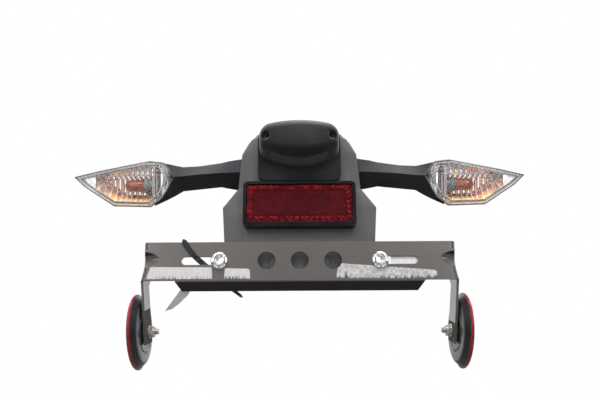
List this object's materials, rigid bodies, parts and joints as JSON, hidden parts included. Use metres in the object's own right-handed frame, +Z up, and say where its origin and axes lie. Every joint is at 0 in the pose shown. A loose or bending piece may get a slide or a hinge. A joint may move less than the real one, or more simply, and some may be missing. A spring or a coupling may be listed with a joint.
{
  "type": "tail tidy",
  "caption": "Motorcycle tail tidy: moulded tail body with plate lamp and red reflector, turn signals on stalks, and a folded number plate bracket with side reflectors on legs.",
  "frame": {"origin": "centre of the mount plate's top face, in the middle of its four bolt holes", "axes": "+X to the right as seen from behind the bike, +Y forward along the bike, +Z up"},
  "size_m": [0.384, 0.1524, 0.2025],
  "materials": {
    "body_plastic": "moulded black, fine grain",
    "mount_steel": "black powder coat",
    "plated_steel": "zinc plated",
    "bolt_zinc": "bright zinc",
    "black_screw": "blackened",
    "lamp_plastic": "moulded black",
    "hood_plastic": "moulded black, satin",
    "seal_rubber": "soft black",
    "lamp_glass": "clear",
    "lamp_bulb_glass": "clear",
    "holder_plastic": "grey",
    "frame_plastic": "black, satin",
    "reflector_red": "red prism",
    "stalk_plastic": "moulded black",
    "signal_clear": "clear",
    "signal_silver": "bright metallised",
    "amber_glass": "amber",
    "bracket_paint": "satin black paint",
    "spacer_plastic": "black",
    "cup_plastic": "moulded black",
    "tie_nylon": "black nylon",
    "tape_paper": "matt, worn",
    "strip_paper": "matt, worn"
  },
  "bodies": {
    "root": {"body": "body_plastic", "bracket_nuts": "plated_steel", "bracket_spacers": "spacer_plastic", "bracket_studs": "plated_steel", "cable_tie": "tie_nylon", "lamp_base": "lamp_plastic", "lamp_bulb": "lamp_bulb_glass", "lamp_bulb_holder": "holder_plastic", "lamp_cover": "hood_plastic", "lamp_cover_screws": "black_screw", "lamp_gasket": "seal_rubber", "lamp_lens": "lamp_glass", "left_side_reflector_cup": "cup_plastic", "left_side_reflector_lens": "reflector_red", "left_side_reflector_nut": "plated_steel", "left_side_reflector_stud": "plated_steel", "left_side_reflector_washer": "plated_steel", "left_signal_arm": "stalk_plastic", "left_signal_bowl": "signal_silver", "left_signal_bulb": "amber_glass", "left_signal_bulb_socket": "holder_plastic", "left_signal_gasket": "seal_rubber", "left_signal_lens": "signal_clear", "left_tape_long": "tape_paper", "left_tape_short": "tape_paper", "loose_strip": "strip_paper", "mount_plate": "mount_steel", "mount_plate_nuts": "plated_steel", "mount_plate_screws": "plated_steel", "plate_bolts": "bolt_zinc", "plate_bracket": "bracket_paint", "plate_nuts": "plated_steel", "reflector_frame": "frame_plastic", "reflector_lens": "reflector_red", "reflector_nuts": "plated_steel", "reflector_studs": "plated_steel", "right_side_reflector_cup": "cup_plastic", "right_side_reflector_lens": "reflector_red", "right_side_reflector_nut": "plated_steel", "right_side_reflector_stud": "plated_steel", "right_side_reflector_washer": "plated_steel", "right_signal_arm": "stalk_plastic", "right_signal_bowl": "signal_silver", "right_signal_bulb": "amber_glass", "right_signal_bulb_socket": "holder_plastic", "right_signal_gasket": "seal_rubber", "right_signal_lens": "signal_clear", "right_tape": "tape_paper", "right_tape_back": "tape_paper", "signal_nuts": "plated_steel"}
  },
  "joints": []
}
